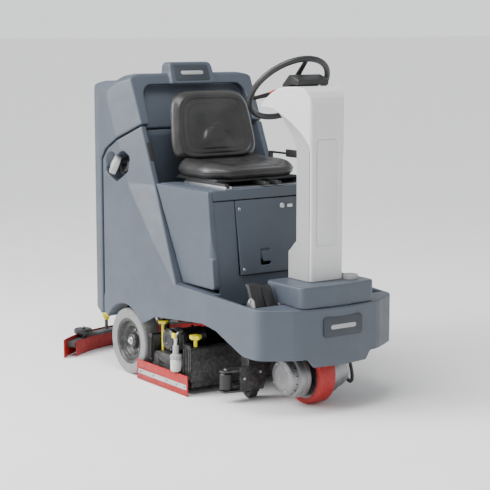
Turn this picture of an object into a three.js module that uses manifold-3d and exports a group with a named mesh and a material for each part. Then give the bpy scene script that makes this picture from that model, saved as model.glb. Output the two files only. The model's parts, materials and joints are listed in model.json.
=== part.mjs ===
// Ride-on floor scrubber, in millimetres. +X is forward, +Y the machine's left, +Z up.
// The origin is on the floor, in the middle of the overall length and width.
import * as THREE from 'three';
import { mergeVertices } from 'three/addons/utils/BufferGeometryUtils.js';
import Module from 'manifold-3d';

const wasm = await Module();
wasm.setup();

// ---------- driving dimensions ----------
const GAP = 0.3; // clearance between pieces that touch
const WALL = 9; // moulded body wall
const BODY_HALF = 385; // half width of the moulded body
const BODY_REAR = -590;
const NOSE = 855; // front of the bumper
const TOP = 1345; // top of the recovery tank
const SILL = 465; // top of the side sill at the battery box
const FLOOR = 395; // top of the footwell floor
const RIM = { x: -54, z: 871, half: 325 }; // the tank's front edge at the seat deck
const LEAN = -0.44; // how far that edge runs back for each millimetre up
const LEAN_LOW = -0.57; // the same below the seat deck
const SHOULDER = 1312; // top of the recovery tank behind its front ridge
const SEAM = 1121; // front end of the seam between the two tanks
const GROOVE_X = -415; // upright part of that seam
const SEAM_GAP = 9;
const RECESS_DEEP = 45; // depth of the recess behind the seat
const BOX_HALF = 333;
const BOX_LEAN = -0.15; // how far the battery box's front runs back for each millimetre up
const BOX_FOOT = 422; // front of the battery box at the sill
const DECK_TOP = 880; // top of the seat deck
const DECK_SKIRT = 45;
const DECK_HALF = 300;
const DOOR_HALF = 188;
const DOOR_LOW = 522;
const REAR_AXLE = { x: -235, z: 150 };
const REAR_TYRE = { radius: 150, inner: 104, width: 90, outerFace: 365 };
const DRIVE = { x: 640, z: 125, radius: 125, core: 100, half: 41 };
const BRUSH = { radius: 65, z: 67, half: 326, xs: [28, 176] };
const MOTOR_X = 42; // brush motors' axis
const MOTOR_Z = 198;
const SKIRT = { x0: -135, x1: 280, y: 372, top: 90, low: 3 };
const SQUEEGEE = { radius: 677, backX: -859, half: 444, pivotX: -788 };
const WHEEL = { x: 482, z: 1300, radius: 189, tilt: 44.5 };
const COLUMN = { front: 747, half: 84 };

const DEG = Math.PI / 180;
const root = new THREE.Group();

// ---------- finishes ----------
const FINISH = {
  slate: [0x59626f, 0.5, 0], slateDark: [0x434d59, 0.55, 0], white: [0xe4e3e2, 0.4, 0],
  paleGray: [0xb9b9ba, 0.5, 0], black: [0x1b1b1c, 0.5, 0], charcoal: [0x35373a, 0.6, 0],
  tyre: [0x9a9a9b, 0.85, 0], vinyl: [0x1a1a1a, 0.4, 0], red: [0xc4302b, 0.5, 0],
  yellow: [0xdfe322, 0.4, 0], steel: [0xb5b7ba, 0.35, 1], castMetal: [0x9fa1a4, 0.5, 1],
  clear: [0xe6e7e4, 0.25, 0], bristle: [0x2a2a2c, 0.9, 0], gray: [0x8c8d90, 0.5, 0],
};

// ---------- solids ----------
function solid(geometry) {
  geometry.deleteAttribute('normal');
  geometry.deleteAttribute('uv');
  const merged = mergeVertices(geometry, 1e-3);
  const index = merged.index.array;
  const triangles = [];
  for (let i = 0; i < index.length; i += 3) {
    const [a, b, c] = [index[i], index[i + 1], index[i + 2]];
    if (a !== b && b !== c && c !== a) triangles.push(a, b, c);
  }
  return new wasm.Manifold(new wasm.Mesh({
    numProp: 3,
    vertProperties: Float32Array.from(merged.attributes.position.array),
    triVerts: Uint32Array.from(triangles),
  }));
}

function node(name, body, finish) {
  const mesh = body.simplify(0.02).getMesh();
  const geometry = new THREE.BufferGeometry();
  geometry.setAttribute('position', new THREE.BufferAttribute(Float32Array.from(mesh.vertProperties), 3));
  geometry.setIndex(new THREE.BufferAttribute(Uint32Array.from(mesh.triVerts), 1));
  geometry.computeVertexNormals();
  const [color, roughness, metalness] = FINISH[finish];
  const piece = new THREE.Mesh(geometry, new THREE.MeshStandardMaterial({ color, roughness, metalness }));
  piece.name = name;
  root.add(piece);
}

const join = (...bodies) => bodies.reduce((a, b) => a.add(b));
const moved = (geometry, x, y, z) => geometry.translate(x, y, z);

// a closed outline: each corner is [x, y] or [x, y, fillet radius]
function outline(corners) {
  const points = [];
  corners.forEach((corner, i) => {
    const [x, y, radius = 0] = corner;
    if (!radius) {
      points.push(new THREE.Vector2(x, y));
      return;
    }
    const here = new THREE.Vector2(x, y);
    const [ax, ay] = corners[(i + corners.length - 1) % corners.length];
    const [bx, by] = corners[(i + 1) % corners.length];
    const toA = new THREE.Vector2(ax - x, ay - y).normalize();
    const toB = new THREE.Vector2(bx - x, by - y).normalize();
    const half = Math.acos(THREE.MathUtils.clamp(toA.dot(toB), -1, 1)) / 2;
    const reach = radius / Math.tan(half);
    const centre = here.clone().add(toA.clone().add(toB).normalize().multiplyScalar(radius / Math.sin(half)));
    const start = here.clone().addScaledVector(toA, reach).sub(centre).angle();
    const end = here.clone().addScaledVector(toB, reach).sub(centre).angle();
    let sweep = end - start;
    while (sweep > Math.PI) sweep -= 2 * Math.PI;
    while (sweep < -Math.PI) sweep += 2 * Math.PI;
    const steps = Math.max(1, Math.round(Math.abs(sweep) / (22.5 * DEG)));
    for (let k = 0; k <= steps; k += 1) {
      const a = start + (sweep * k) / steps;
      points.push(new THREE.Vector2(centre.x + radius * Math.cos(a), centre.y + radius * Math.sin(a)));
    }
  });
  return points;
}

const extruded = (points, depth) =>
  new THREE.ExtrudeGeometry(new THREE.Shape(points), { depth, bevelEnabled: false, steps: 1 });

// outline in XZ, run along Y
function alongY(corners, y0, y1) {
  return solid(extruded(outline(corners), y1 - y0).rotateX(Math.PI / 2).translate(0, y1, 0));
}

// outline in XY, run along Z
function alongZ(corners, z0, z1) {
  return solid(extruded(outline(corners), z1 - z0).translate(0, 0, z0));
}

const toX = new THREE.Matrix4().makeBasis(
  new THREE.Vector3(0, 1, 0), new THREE.Vector3(0, 0, 1), new THREE.Vector3(1, 0, 0));

// outline in YZ, run along X
function alongX(corners, x0, x1) {
  return solid(extruded(outline(corners), x1 - x0).applyMatrix4(toX).translate(x0, 0, 0));
}

function box(x0, x1, y0, y1, z0, z1) {
  const shape = new THREE.BoxGeometry(x1 - x0, y1 - y0, z1 - z0);
  return solid(moved(shape, (x0 + x1) / 2, (y0 + y1) / 2, (z0 + z1) / 2));
}

// rounds: a flat side of the polygon faces straight down
function rodY(x, z, radius, y0, y1, sides = 24) {
  const shape = new THREE.CylinderGeometry(radius, radius, y1 - y0, sides, 1, false, Math.PI / sides);
  return solid(moved(shape, x, (y0 + y1) / 2, z));
}

function rodZ(x, y, radius, z0, z1, sides = 24, topRadius = radius) {
  const shape = new THREE.CylinderGeometry(topRadius, radius, z1 - z0, sides).rotateX(Math.PI / 2);
  return solid(moved(shape, x, y, (z0 + z1) / 2));
}

function rodBetween(a, b, radius, sides = 12) {
  const from = new THREE.Vector3(...a);
  const along = new THREE.Vector3(...b).sub(from);
  const shape = new THREE.CylinderGeometry(radius, radius, along.length(), sides);
  shape.applyQuaternion(new THREE.Quaternion().setFromUnitVectors(
    new THREE.Vector3(0, 1, 0), along.clone().normalize()));
  const middle = from.addScaledVector(along, 0.5);
  return solid(moved(shape, middle.x, middle.y, middle.z));
}

// a lathe profile of [radius, y], turned about an axis along Y
function turned(profile, x, y, z, sides) {
  const grow = 1 / Math.cos(Math.PI / sides);
  const points = profile.map(([r, h]) => new THREE.Vector2(r * grow, h));
  const lathe = () => solid(moved(new THREE.LatheGeometry(points, sides, Math.PI / sides), x, y, z));
  const body = lathe();
  if (body.volume() > 0) return body;
  points.reverse();
  return lathe();
}

// a solid with the usual gap above and behind it
const spaced = (body) => join(body, body.translate([0, 0, GAP]), body.translate([-GAP, 0, 0]));

// the biggest of the bodies that a cut leaves
function largest(body) {
  return body.decompose().reduce((a, b) => (a.volume() > b.volume() ? a : b));
}

// a tube along a smooth curve
function tube(points, radius, sides = 8, steps = 24) {
  const path = new THREE.CatmullRomCurve3(points.map((p) => new THREE.Vector3(...p)));
  const ring = new THREE.Shape();
  for (let i = 0; i < sides; i += 1) {
    const a = (2 * Math.PI * i) / sides;
    if (i === 0) ring.moveTo(radius, 0);
    else ring.lineTo(radius * Math.cos(a), radius * Math.sin(a));
  }
  return solid(new THREE.ExtrudeGeometry(ring, { steps, extrudePath: path, bevelEnabled: false }));
}

// the same on the other side of the machine
function mirrored(build) {
  for (const side of [-1, 1]) build(side, side < 0 ? 'right' : 'left');
}

const span = (side, a, b) => [Math.min(side * a, side * b), Math.max(side * a, side * b)];

// ---------- the moulded body ----------
const leanX = (z) => RIM.x + (z > RIM.z ? LEAN : LEAN_LOW) * (z - RIM.z);
const boxX = (z) => BOX_FOOT + BOX_LEAN * (z - SILL);

function planBody(inset) {
  const w = BODY_HALF - inset;
  const back = BODY_REAR + inset;
  return alongZ([
    [back, -w, 150], [0, -w + 8], [400, -w + 22], [748 - inset / 2, -w + 38, 52], [826 - inset, -w + 175, 90],
    [NOSE - inset, -60, 300],
    [NOSE - inset, 60, 300], [826 - inset, w - 175, 90], [748 - inset / 2, w - 38, 52], [400, w - 22], [0, w - 8],
    [back, w, 150],
  ], 0, 1500);
}

// the tanks' front corners are cut back to the narrow front edge
function cornerCutters(inset = 0) {
  const cutter = (side, z, height, dx, dy, half) => {
    const shape = extruded(outline([[0, 0], [60, side * -12], [60, side * 220], [-560, side * 220], [-168, side * 62]]),
      height);
    shape.applyMatrix4(new THREE.Matrix4().set(1, 0, dx, 0, 0, 1, side * dy, 0, 0, 0, 1, 0, 0, 0, 0, 1));
    return solid(shape.translate(leanX(z) - inset, side * (half - inset), z));
  };
  const foot = SILL + 10;
  const narrowing = -0.1;
  return join(...[-1, 1].flatMap((side) => [
    cutter(side, foot, RIM.z - foot + 0.5, LEAN_LOW, narrowing, RIM.half - narrowing * (RIM.z - foot)),
    cutter(side, RIM.z, 600, LEAN, 0, RIM.half)]));
}

function mainBody() {
  const side = alongY([
    [NOSE + 1, 438], [742, 444], [leanX(SILL + 5), SILL + 5], [RIM.x, RIM.z], [leanX(SEAM), SEAM],
    [-379, 1003], [GROOVE_X, 962], [GROOVE_X, 262], [-380, 240], [-81, 258, 30], [21, 303, 60], [422, 334, 200],
    [646, 240, 60], [NOSE + 1, 236],
  ], -BODY_HALF, BODY_HALF).intersect(planBody(0));
  const tab = alongX([[-135, 202], [135, 202], [182, 262], [182, 300], [-182, 300], [-182, 262]], 790, NOSE + 1)
    .intersect(planBody(0));
  const tabHollow = alongX([[-128, 100], [128, 100], [173, 262], [-173, 262]], 700, NOSE).intersect(planBody(WALL));
  const footwell = box(-190, 700, -300, 300, FLOOR, 1400).add(box(BOX_FOOT + 4, 700, -335, 335, FLOOR, 1400));
  const noseHollow = box(709, NOSE, -400, 400, 100, 429).intersect(planBody(WALL));
  const floorHollow = box(-199, 710, -400, 400, 100, FLOOR - WALL).intersect(planBody(WALL));
  const rearHollow = alongY([
    [GROOVE_X + WALL, 100], [-199, 100], [-199, 1050], [-379, 985], [GROOVE_X + WALL, 950],
  ], -300, 300);
  const wheelWell = (s) => rodY(REAR_AXLE.x, REAR_AXLE.z, 174, ...span(s, 250, 400), 32);
  const pocket = alongY([
    [-388, 905, 20], [-296, 868, 20], [-205, 915, 20], [-205, 985, 20], [-245, 1010, 15], [-380, 940, 20],
  ], -400, -306);
  const panel = alongY([[GROOVE_X - 20, 250], [-20, 600], [-150, 940], [-210, 1075], [GROOVE_X - 20, 980]],
    -400, -BODY_HALF + 6);
  const capRoom = rodBetween([-315, -346, 933.5], [-352, -412, 962], 50, 20);
  return join(side, tab)
    .subtract(join(capRoom, footwell, noseHollow, floorHollow, rearHollow, wheelWell(-1), wheelWell(1)))
    .subtract(tabHollow).subtract(cornerCutters()).subtract(pocket)
    .subtract(panel.subtract(rodY(REAR_AXLE.x, REAR_AXLE.z, 260, -400, -370, 40)))
    .subtract(recess());
}

// the space behind the seat back, open to the front
function recess() {
  const front = alongX([
    [-290, 884], [290, 884], [272, 1298, 50], [-272, 1298, 50],
  ], -500, 400);
  const depth = alongY([
    [leanX(880) - RECESS_DEEP, 880], [400, 880], [400, 1400], [leanX(1310) - RECESS_DEEP, 1310],
  ], -400, 400);
  return front.intersect(depth);
}

function recoveryTank() {
  const side = (inset) => alongY([
    [leanX(SEAM) - inset, SEAM + SEAM_GAP + inset], [leanX(TOP) - inset, TOP - inset, 20],
    [-325 + inset, TOP - inset, 20], [-358 + inset, SHOULDER - inset, 14],
    [BODY_REAR + inset, SHOULDER - inset, 150], [BODY_REAR + inset, 300 + inset, 110],
    [-440, 246 + inset], [GROOVE_X - SEAM_GAP - inset, 262 + inset],
    [GROOVE_X - SEAM_GAP - inset, 966 - inset * 0.5], [-387 - inset * 0.6, 1012 + inset],
  ], -BODY_HALF + inset, BODY_HALF - inset);
  const round = (inset) => alongX([
    [-BODY_HALF + inset, 100], [BODY_HALF - inset, 100], [BODY_HALF - inset, TOP - inset, 120],
    [-BODY_HALF + inset, TOP - inset, 120],
  ], -700, 100);
  const outer = side(0).intersect(round(0)).intersect(planBody(0)).subtract(cornerCutters());
  const inner = side(WALL).intersect(round(WALL)).intersect(planBody(WALL)).subtract(cornerCutters(WALL))
    .subtract(box(leanX(1310) - RECESS_DEEP - 12, 200, -400, 400, 1100, 1400))
    .subtract(alongY([[leanX(SEAM) - RECESS_DEEP - 12, 1000], [300, 1000], [300, 1400],
      [leanX(1345) - RECESS_DEEP - 12, 1345]], -400, 400));
  const mouth = box(-535, -385, -170, 170, SHOULDER - 40, 1400);
  const ledge = box(-552, -368, -190, 190, SHOULDER - 4, 1400);
  return outer.subtract(inner).subtract(recess()).subtract(mouth).subtract(ledge);
}

// the blank name box on the tank's front edge
function nameBox() {
  const proud = 12;
  const side = alongY([
    [leanX(1296) - 5, 1296], [leanX(1296) + proud, 1296, 4], [leanX(1394) + proud, 1394, 8],
    [leanX(1394) - 46, 1394, 12], [leanX(TOP) - 70, TOP - 3], [leanX(TOP) - 30, TOP - 3],
  ], -124, 124);
  const front = alongX([[-122, 1290, 10], [122, 1290, 10], [112, 1396, 22], [-112, 1396, 22]], -400, 100);
  const plate = alongX([[-96, 1308, 8], [96, 1308, 8], [92, 1384, 8], [-92, 1384, 8]], -400, 100)
    .intersect(alongY([[leanX(1290) + proud - 3, 1290], [100, 1290], [100, 1410],
      [leanX(1410) + proud - 3, 1410]], -200, 200));
  return side.intersect(front).subtract(plate);
}

// ---------- battery box, seat deck, door ----------
function batteryBox() {
  const side = alongY([
    [leanX(474) + 8, 474], [boxX(474), 474, 12], [boxX(DECK_TOP - 2), DECK_TOP - 2, 14],
    [leanX(DECK_TOP - 2) + 8, DECK_TOP - 2],
  ], -BOX_HALF, BOX_HALF);
  const corners = alongX([[-BOX_HALF, 470], [BOX_HALF, 470], [RIM.half - 3, 900], [3 - RIM.half, 900]], -400, 500)
    .intersect(alongZ([[-400, -BOX_HALF], [boxX(600), -BOX_HALF, 36], [boxX(600), BOX_HALF, 36],
      [-400, BOX_HALF]], 470, 900).add(box(-400, 600, -BOX_HALF, BOX_HALF, 400, 600)));
  const skirtHole = box(-200, 600, -DECK_HALF - 1, DECK_HALF + 1, DECK_TOP - DECK_SKIRT - 1, 900);
  const inside = alongY([
    [-300, 300], [boxX(474) - 14, 300], [boxX(900) - 14, 900], [-300, 900],
  ], -288, 288);
  const doorHole = box(300, 600, -DOOR_HALF - 2, DOOR_HALF + 2, DOOR_LOW - 2, 900);
  const apron = alongY([
    [boxX(474) - 14, FLOOR + GAP], [boxX(474) - 4, FLOOR + GAP], [boxX(500) - 4, 500], [boxX(500) - 14, 500],
  ], -299.6, 299.6);
  const gutter = box(boxX(474) - 3, 600, -DECK_HALF - 1, DECK_HALF + 1, 300, 900);
  const face = alongY([[boxX(474) - 4, 400], [600, 400], [600, 900], [boxX(900) - 4, 900]],
    -DECK_HALF - 1, DECK_HALF + 1);
  return side.intersect(corners).subtract(skirtHole).subtract(inside).add(apron).subtract(face)
    .subtract(gutter.intersect(face)).subtract(doorHole);
}

function seatDeck() {
  const low = DECK_TOP - DECK_SKIRT;
  const back = leanX(DECK_TOP) + 10;
  const plate = alongY([
    [back, low + 4], [boxX(low) - 3, low + 1], [boxX(DECK_TOP) - 3, DECK_TOP, 8], [back, DECK_TOP],
  ], -DECK_HALF, DECK_HALF);
  const hollow = box(back + 8, boxX(DECK_TOP) - 12, -DECK_HALF + 8, DECK_HALF - 8, 800, DECK_TOP - 8);
  return plate.subtract(hollow);
}

function batteryDoor() {
  const z0 = DOOR_LOW;
  const z1 = DECK_TOP - DECK_SKIRT - 3;
  const panel = alongY([
    [boxX(z0) - 13, z0], [boxX(z0) - 3, z0], [boxX(z1) - 3, z1], [boxX(z1) - 13, z1],
  ], -DOOR_HALF, DOOR_HALF);
  const grip = alongX([[-82, 556, 8], [-30, 556, 8], [-30, 624, 8], [-82, 624, 8]], boxX(600) - 10, 600);
  const lip = alongX([[-68, 570], [-29, 570], [-29, 610], [-68, 610]], 300, 600);
  return panel.subtract(grip.subtract(lip));
}

// ---------- column and head ----------
function columnCore(inset) {
  const h = COLUMN.half - inset;
  const profile = alongY([
    [596 + inset, 529.5], [COLUMN.front - inset, 529.5], [COLUMN.front - inset, 1150], [700, 1260],
    [500 + inset, 1240], [500 + inset, 1222], [569, 1168], [621, 1116], [644, 1080], [650 + inset, 1045],
    [650 + inset, 690], [596 + inset, 640],
  ], -h, h);
  const plan = alongZ([
    [400, -h], [COLUMN.front - inset, -h, 12], [COLUMN.front - inset, h, 12], [400, h],
  ], 500, 1400);
  return profile.intersect(plan);
}

function headSolid(inset) {
  const side = alongY([
    [486 + inset, 1226 + inset], [520, 1226 + inset], [571, 1222 + inset], [649, 1172 + inset],
    [701, 1126 + inset], [735, 1080 + inset], [COLUMN.front - inset, 1030], [COLUMN.front - inset, 1318 - inset, 70],
    [600, 1312 - inset, 60], [486 + inset, 1246 - inset],
  ], -150, 150);
  const w = 146 - inset;
  const plan = alongZ([
    [400, -w], [560, -w, 40], [COLUMN.front - inset, -COLUMN.half + inset, 14],
    [COLUMN.front - inset, COLUMN.half - inset, 14], [560, w, 40], [400, w],
  ], 900, 1400);
  return side.intersect(plan);
}

function columnShells() {
  const outer = columnCore(0).add(headSolid(0));
  const hollow = columnCore(6).add(box(602, 741, -76, 76, 520, 560)).add(headSolid(6));
  const panelCut = alongX([[-57, 668, 14], [57, 668, 14], [57, 1112, 20], [-57, 1112, 20]],
    COLUMN.front - 4, COLUMN.front + 9);
  const shaftHole = rodBetween([440, 0, 1343], [566, 0, 1214], 22, 16);
  const dashHole = alongY([[507, 1245], [590, 1291], [575, 1320], [492, 1270]], -128, 128);
  const podHole = box(600, 660, -20, 20, 1290, 1340);
  const shell = outer.subtract(hollow).subtract(panelCut).subtract(shaftHole).subtract(dashHole)
    .subtract(podHole);
  const frontSide = join(
    box(735, 800, -200, 200, 500, 1400),
    alongY([[735, 1000], [735, 1074], [701, 1120], [649, 1166], [571, 1216], [520, 1220], [400, 1220],
      [400, 1400], [900, 1400], [900, 1000]], -200, 200));
  const rearSide = join(
    box(500, 735 - GAP, -200, 200, 500, 1000),
    alongY([[500, 999], [500, 1219], [570, 1215], [648, 1165], [700, 1119], [735 - GAP, 1073],
      [735 - GAP, 999]], -200, 200));
  return [shell.intersect(frontSide), shell.intersect(rearSide)];
}

// ---------- steering wheel, built flat and then tilted towards the driver ----------
function tilted(shape, x, z) {
  return shape.rotateY(-WHEEL.tilt * DEG).translate(x, 0, z);
}

function steeringWheel() {
  const rim = solid(tilted(new THREE.TorusGeometry(WHEEL.radius - 13, 13, 8, 28), WHEEL.x, WHEEL.z));
  const hub = solid(tilted(new THREE.CylinderGeometry(30, 42, 34, 24).rotateX(Math.PI / 2)
    .translate(0, 0, -16), WHEEL.x, WHEEL.z));
  const spokes = [20, 160, 270].map((angle) => {
    const arm = new THREE.BoxGeometry(WHEEL.radius - 40, 34, 9).translate((WHEEL.radius - 40) / 2 + 22, 0, -5);
    return solid(tilted(arm.rotateZ((angle + 90) * DEG), WHEEL.x, WHEEL.z));
  });
  const shaft = rodBetween([WHEEL.x + 10, 0, WHEEL.z - 10], [WHEEL.x + 100, 0, WHEEL.z - 102], 14, 16);
  return join(rim, hub, shaft, ...spokes);
}

// ---------- wheels ----------
function rearWheel(side, name) {
  const { radius, inner, width, outerFace } = REAR_TYRE;
  const [y0] = span(side, outerFace, outerFace - width);
  const tyre = turned([
    [inner, 6], [radius - 9, 0], [radius, 9], [radius, width - 9], [radius - 9, width], [inner, width - 6],
    [inner, 6],
  ], REAR_AXLE.x, y0, REAR_AXLE.z, 28);
  node(`rear_tyre_${name}`, tyre, 'tyre');
  // the rim's dished face is drawn from the hub outwards, at its depth from the wheel's outer face
  const face = [[13, 20], [30, 20], [34, 42], [54, 44], [62, 28], [84, 26], [92, 8], [inner - GAP, 7]];
  const back = [[inner - GAP, width - 7], [88, 62], [34, 64], [30, width - 4], [13, width - 4]];
  const flip = (d) => (side < 0 ? d : width - d);
  const rim = turned([...face, ...back, face[0]].map(([r, d]) => [r, flip(d)]),
    REAR_AXLE.x, y0, REAR_AXLE.z, 28);
  node(`rear_rim_${name}`, rim, 'black');
}

function driveWheel() {
  const { x, z, radius, core, half } = DRIVE;
  node('drive_tyre', turned([
    [core, -half], [radius - 4, -half], [radius, -half + 7], [radius, half - 7], [radius - 4, half],
    [core, half], [core, -half],
  ], x, 0, z, 28), 'red');
  node('drive_hub', turned([
    [0, -half - 3], [18, -half - 3], [40, -half + 4], [80, -half + 8], [core - GAP, -half],
    [core - GAP, half], [80, half - 8], [40, half - 4], [18, half + 3], [0, half + 3],
  ], x, 0, z, 28), 'castMetal');
}

// ---------- drive unit ----------
function driveUnit() {
  const { x, z } = DRIVE;
  const top = rodZ(x, 0, 86, 262, 285, 24).add(rodZ(x, 0, 60, 284, 296, 24));
  const leg = (y) => alongY([
    [x - 52, 275], [x - 40, 70, 30], [x + 40, 70, 30], [x + 52, 275],
  ], y - 6, y + 6);
  node('drive_fork', join(top, leg(-53), leg(53)), 'charcoal');
  const drum = turned([
    [0, -150], [58, -150], [70, -142], [74, -132], [74, -112], [86, -108], [88, -102], [88, -82], [91, -82], [91, -72],
    [88, -72], [88, -60], [0, -60],
  ], x, 0, z, 24);
  node('drive_motor', drum, 'castMetal');
  const gearbox = turned([[0, 60], [94, 60], [94, 84], [80, 96], [76, 140], [60, 166], [0, 166]], x, 0, z, 24);
  node('drive_gearbox', gearbox.add(box(x - 30, x + 30, 100, 150, z, z + 84)), 'steel');
  node('drive_lead', tube([
    [x - 4, 176.5, 100], [x - 3, 192, 84], [x, 206, 64], [x + 4, 216, 60], [x + 8, 221, 72], [x + 8, 213, 120],
    [x + 6, 196, 180], [x + 2, 170, 204], [x, 151.5, 204],
  ], 8, 8, 20), 'black');
}

// ---------- scrub deck ----------
function brushHousing() {
  const block = alongY([
    [-46, 30], [262, 30], [262, 200, 12], [236, 204, 12], [228, 142, 12], [-46, 142, 24],
  ], -341, 341);
  const bores = BRUSH.xs.map((x) => rodY(x, BRUSH.z, 71, -333, 333, 20));
  const below = BRUSH.xs.map((x) => box(x - 71, x + 71, -333, 333, 0, BRUSH.z));
  const bearings = BRUSH.xs.map((x) => rodY(x, BRUSH.z, 16.5, -350, 350, 12));
  return block.subtract(join(...bores, ...below, ...bearings))
    .add(rodZ(MOTOR_X, 0, 22, 137, 160, 12)).add(rodZ(MOTOR_X, 0, 10, 150, 306, 12));
}

function brush(x) {
  const points = [];
  const rows = 14;
  for (let i = 0; i < rows; i += 1) {
    const a = (2 * Math.PI * (i + 0.25)) / rows;
    for (const [turn, r] of [[0, BRUSH.radius], [0.5, BRUSH.radius], [0.62, 50], [0.88, 50]]) {
      const b = a + (2 * Math.PI * turn) / rows;
      points.push([x + r * Math.sin(b), BRUSH.z - r * Math.cos(b)]);
    }
  }
  return alongY(points, -BRUSH.half, BRUSH.half).add(rodY(x, BRUSH.z, 15, -344, 344, 12));
}

function starKnob(x, y, z, radius, stem, length) {
  const points = [];
  for (let i = 0; i < 20; i += 1) {
    const a = (2 * Math.PI * i) / 20;
    const r = radius * (0.88 + 0.12 * Math.cos(5 * a));
    points.push([x + r * Math.cos(a), y + r * Math.sin(a)]);
  }
  return alongZ(points, z, z + 16).add(rodZ(x, y, stem, z - length, z + 2, 10));
}

function deckSide(side, name) {
  const at = (a, b) => span(side, a, b);
  const plate = alongY([
    [-42, 55], [264, 55], [264, 205, 8], [202, 214, 8], [202, 98, 6], [150, 92], [-42, 92],
  ], ...at(341 + GAP, 348));
  const bores = BRUSH.xs.map((x) => rodY(x, BRUSH.z, 16.5, ...at(330, 352), 12));
  const ribs = [212, 230, 248].map((x) => box(x, x + 7, ...at(347, 353), 64, 196));
  node(`deck_end_${name}`, join(plate, ...ribs).subtract(join(...bores)), 'charcoal');
  const motor = turned([
    [0, 320], [14, 320], [16, 326], [36, 328], [42, 320], [48, 318], [48, 304], [45, 300], [45, 150], [0, 150],
  ].map(([r, y]) => [r, side * y]), MOTOR_X, 0, MOTOR_Z, 20);
  const foot = box(MOTOR_X - 30, MOTOR_X + 30, ...at(170, 300), 142 + GAP, 170);
  node(`brush_motor_${name}`, motor.add(foot), 'black');
  node(`side_skirt_${name}`, box(SKIRT.x0, SKIRT.x1, ...at(SKIRT.y, SKIRT.y + 6), SKIRT.low, SKIRT.top), 'red');
}

function arcPoints(radius, from, to, step = 14) {
  const count = Math.round(Math.abs(to - from) / step);
  return Array.from({ length: count + 1 }, (_, i) => {
    const a = (from + ((to - from) * i) / count) * DEG;
    return [radius * Math.cos(a), radius * Math.sin(a)];
  });
}

// ---------- squeegee: bands that follow one arc ----------
function arcBand(inner, outer, half, z0, z1) {
  const centreX = SQUEEGEE.backX + SQUEEGEE.radius;
  const reach = Math.asin(half / SQUEEGEE.radius) / DEG;
  const edge = (r, a, b) => arcPoints(r, 180 + a, 180 + b, 6).map(([x, y]) => [centreX + x, y]);
  return alongZ([...edge(outer, -reach, reach), ...edge(inner, reach, -reach)], z0, z1);
}

function squeegee() {
  const r = SQUEEGEE.radius;
  const bar = arcBand(r - 46, r - 10, 430, 46, 72);
  const plate = arcBand(r - 70, r - 20, 250, 71, 84);
  const swivel = rodZ(SQUEEGEE.pivotX, 0, 26, 83, 104, 20);
  const outlet = rodZ(SQUEEGEE.pivotX, -75, 27, 83, 128, 20).subtract(rodZ(SQUEEGEE.pivotX, -75, 22, 90, 130, 20));
  const rollerPost = (s) => rodZ(-754, s * 309, 9, 68, 118, 8).add(rodZ(-754, s * 309, 12, 68, 84, 12));
  const knobPost = (s) => rodZ(-804, s * 152, 8, 80, 130, 8);
  node('squeegee_frame', join(bar, plate, swivel, outlet, rollerPost(-1), rollerPost(1), knobPost(-1),
    knobPost(1)), 'charcoal');
  node('squeegee_blade_rear', arcBand(r - 8.8, r - 4, 465, 2, 88), 'red');
  node('squeegee_blade_front', arcBand(r - 52, r - 47.2, 400, 3, 70), 'red');
  mirrored((s, name) => {
    node(`squeegee_roller_${name}`, rodZ(-754, s * 309, 44, 90, 112, 20)
      .subtract(rodZ(-754, s * 309, 10, 80, 120, 12)), 'black');
    node(`squeegee_knob_${name}`, starKnob(-804, s * 152, 146, 24, 14, 14)
      .subtract(rodZ(-804, s * 152, 9, 120, 138, 8)), 'yellow');
  });
}

function squeegeeArm() {
  const x = SQUEEGEE.pivotX;
  const beam = alongY([
    [-440, 176], [-424, 176], [-420, 204], [-446, 206], [-600, 168], [x, 136], [x, 108], [-610, 140],
  ], -36, 36).subtract(box(x - 10, -470, -24, 24, 60, 125));
  const eye = rodZ(x, 0, 34, 104.5, 137, 20);
  const barrel = rodY(-430, 190, 19, -70, 70, 20);
  return join(beam, eye, barrel).subtract(rodY(-430, 190, 10.3, -80, 80, 20));
}

// ---------- steel chassis ----------
function rollerBracket() {
  const arm = (z) => alongZ([
    [424, -200], [424, -120], [478, -120], [478, -240], [464, -316, 16], [420, -316, 16], [412, -240],
  ], z, z + 8);
  const front = alongX([[-244, 44], [-124, 44], [-84, 150], [-244, 150]], 472, 480);
  return join(arm(130), arm(44).intersect(box(400, 500, -400, -190, 0, 100)), front,
    box(424, 480, -200, -192, 44, 302), rodZ(442, -290, 6.8, 40, 144, 8), box(424, 480, -200, -126, 292, 302),
    rodY(440, 32, 6, -196, -126, 8), box(430, 452, -134, -126, 26, 138), box(430, 452, -198, -192, 26, 60));
}

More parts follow.
